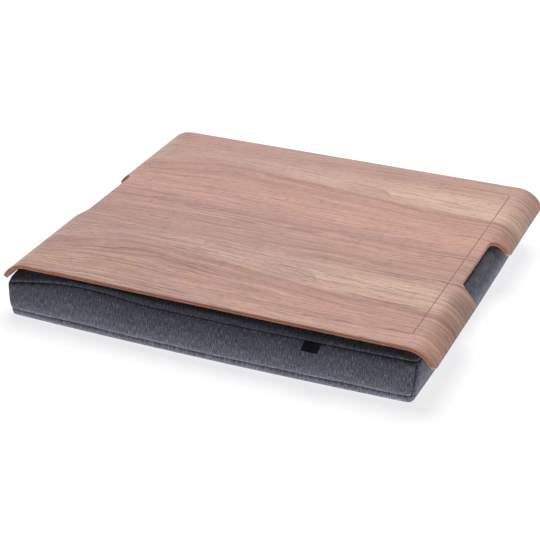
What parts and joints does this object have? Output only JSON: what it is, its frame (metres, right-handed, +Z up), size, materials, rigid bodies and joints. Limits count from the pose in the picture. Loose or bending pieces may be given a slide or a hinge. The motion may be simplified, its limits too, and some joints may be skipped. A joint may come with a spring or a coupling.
{
  "type": "lap tray",
  "caption": "Moulded walnut plywood lap tray with bent sides, handle notches and a non-slip panel, on a flat fabric bead cushion with a tag and a zip.",
  "frame": {"origin": "on the floor, under the middle of the tray board", "axes": "+X to the user's right, along the board's longer side; +Y away from the user, so the tag is on the -Y side and the zip on the +Y side; +Z up"},
  "size_m": [0.46, 0.4033, 0.06],
  "materials": {
    "walnut_veneer": "open-grained satin lacquer",
    "walnut_panel": "matt non-slip coat over walnut",
    "panel_line": "matt",
    "cross_ply": "sanded edge",
    "centre_ply": "sanded edge",
    "hook_tape": "woven hooks",
    "loop_tape": "brushed loops",
    "cover_fabric": "melange plain weave",
    "seam_thread": "twisted thread",
    "liner_cotton": "plain cotton",
    "foam_beads": "loose beads",
    "tag_ribbon": "woven ribbon",
    "zip_tape": "woven tape",
    "zip_teeth": "moulded",
    "zip_metal": "satin black lacquer"
  },
  "bodies": {
    "cushion": {"loop_tapes": "loop_tape", "cover_top_panel": "cover_fabric", "cover_bottom_panel": "cover_fabric", "cover_front_wall": "cover_fabric", "cover_left_wall": "cover_fabric", "cover_right_wall": "cover_fabric", "cover_back_wall_upper": "cover_fabric", "cover_back_wall_lower": "cover_fabric", "top_seam_thread": "seam_thread", "bottom_seam_thread": "seam_thread", "corner_seam_threads": "seam_thread", "liner_bag_bottom": "liner_cotton", "liner_bag_top": "liner_cotton", "bead_filling": "foam_beads", "woven_tag": "tag_ribbon", "zip_tape_upper": "zip_tape", "zip_tape_lower": "zip_tape", "zip_teeth_upper": "zip_teeth", "zip_teeth_lower": "zip_teeth", "zip_end_stops": "zip_teeth"},
    "tray": {"top_veneer": "walnut_veneer", "panel_border": "panel_line", "antislip_panel": "walnut_panel", "core_ply_upper": "cross_ply", "core_ply_middle": "centre_ply", "core_ply_lower": "cross_ply", "bottom_veneer": "walnut_veneer", "hook_tapes": "hook_tape"},
    "slider": {"zip_slider": "zip_metal"},
    "pull": {"zip_pull": "zip_metal"}
  },
  "joints": [
    {"name": "tray_lift", "type": "slide", "parent": "cushion", "child": "tray", "axis": [0, 0, 1], "range_m": [0, 0.12]},
    {"name": "zip_slide", "type": "slide", "parent": "cushion", "child": "slider", "axis": [-1, 0, 0], "range_m": [0, 0.3744]},
    {"name": "zip_pull_hinge", "type": "hinge", "parent": "slider", "child": "pull", "pos_m": [0.1872, 0.1933, 0.027], "axis": [0, 0, -1], "range_deg": [0, 170]}
  ]
}
